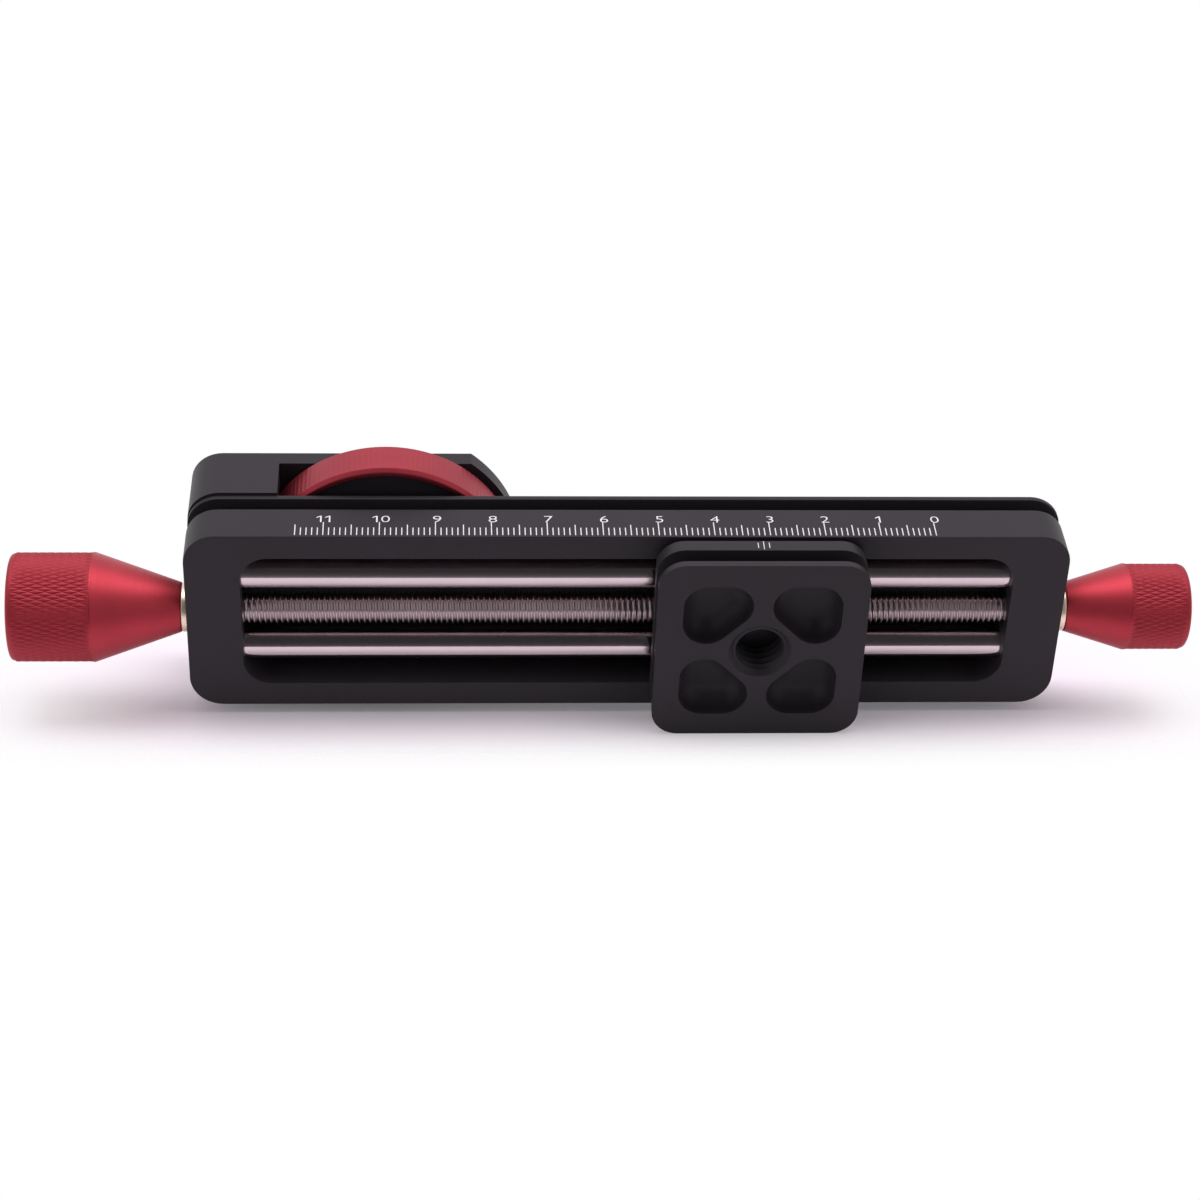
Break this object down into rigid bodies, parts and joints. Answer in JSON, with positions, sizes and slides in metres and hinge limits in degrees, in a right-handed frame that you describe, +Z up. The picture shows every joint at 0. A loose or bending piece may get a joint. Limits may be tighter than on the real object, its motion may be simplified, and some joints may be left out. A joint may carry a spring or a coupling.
{
  "type": "macro focusing rail",
  "caption": "Focusing rail with a knob-turned lead screw, a dovetail tripod foot that slides in a windowed frame with a scale, and a camera platform with a thumbwheel screw.",
  "frame": {"origin": "on the tripod thread's axis, where the thread starts at the bottom of its lead-in chamfer in the foot's face", "axes": "+X along the rail towards the scale's zero end, +Y from the tripod foot to the camera, +Z up as the rail lies on its long edge"},
  "size_m": [0.2154, 0.0405, 0.048],
  "materials": {
    "black_anodised": "bead blasted and black anodised",
    "red_anodised": "red anodised",
    "polished_steel": "ground and polished",
    "black_steel": "black oxide",
    "brass": "turned",
    "bronze": "sintered",
    "pad_rubber": "matt",
    "nylon": "natural"
  },
  "bodies": {
    "carriage": {"carriage": "black_anodised", "lead_screw_nut": "brass", "upper_left_guide_bush": "bronze", "upper_right_guide_bush": "bronze", "lower_left_guide_bush": "bronze", "lower_right_guide_bush": "bronze"},
    "rail": {"rail_frame": "black_anodised", "upper_guide_rod": "polished_steel", "lower_guide_rod": "polished_steel", "rod_grub_screws": "black_steel", "left_end_bush": "brass", "right_end_bush": "brass", "camera_platform": "black_anodised", "platform_screws": "black_steel", "platform_dowels": "polished_steel", "camera_pad": "pad_rubber", "wheel_washer": "nylon"},
    "lead_screw": {"lead_screw": "polished_steel", "left_knob": "red_anodised", "right_knob": "red_anodised", "knob_grub_screws": "black_steel", "left_thrust_washer": "nylon", "right_thrust_washer": "nylon"},
    "thumbwheel": {"thumbwheel_rim": "red_anodised", "thumbwheel_hub": "black_anodised", "camera_screw": "polished_steel", "hub_screws": "black_steel", "retaining_ring": "black_steel"}
  },
  "joints": [
    {"name": "rail_slide", "type": "slide", "parent": "carriage", "child": "rail", "axis": [1, 0, 0], "range_m": [-0.0315, 0.0835]},
    {"name": "lead_screw_turn", "type": "hinge", "parent": "rail", "child": "lead_screw", "pos_m": [0, 0.01271, 0], "axis": [1, 0, 0], "range_deg": [-11341, 30061]},
    {"name": "thumbwheel_turn", "type": "hinge", "parent": "rail", "child": "thumbwheel", "pos_m": [-0.0675, 0.026, 0], "axis": [0, 1, 0], "continuous": true}
  ],
  "couplings": [
    {"joint": "lead_screw_turn", "follows": "rail_slide", "rad_per_m": 6283.2}
  ]
}
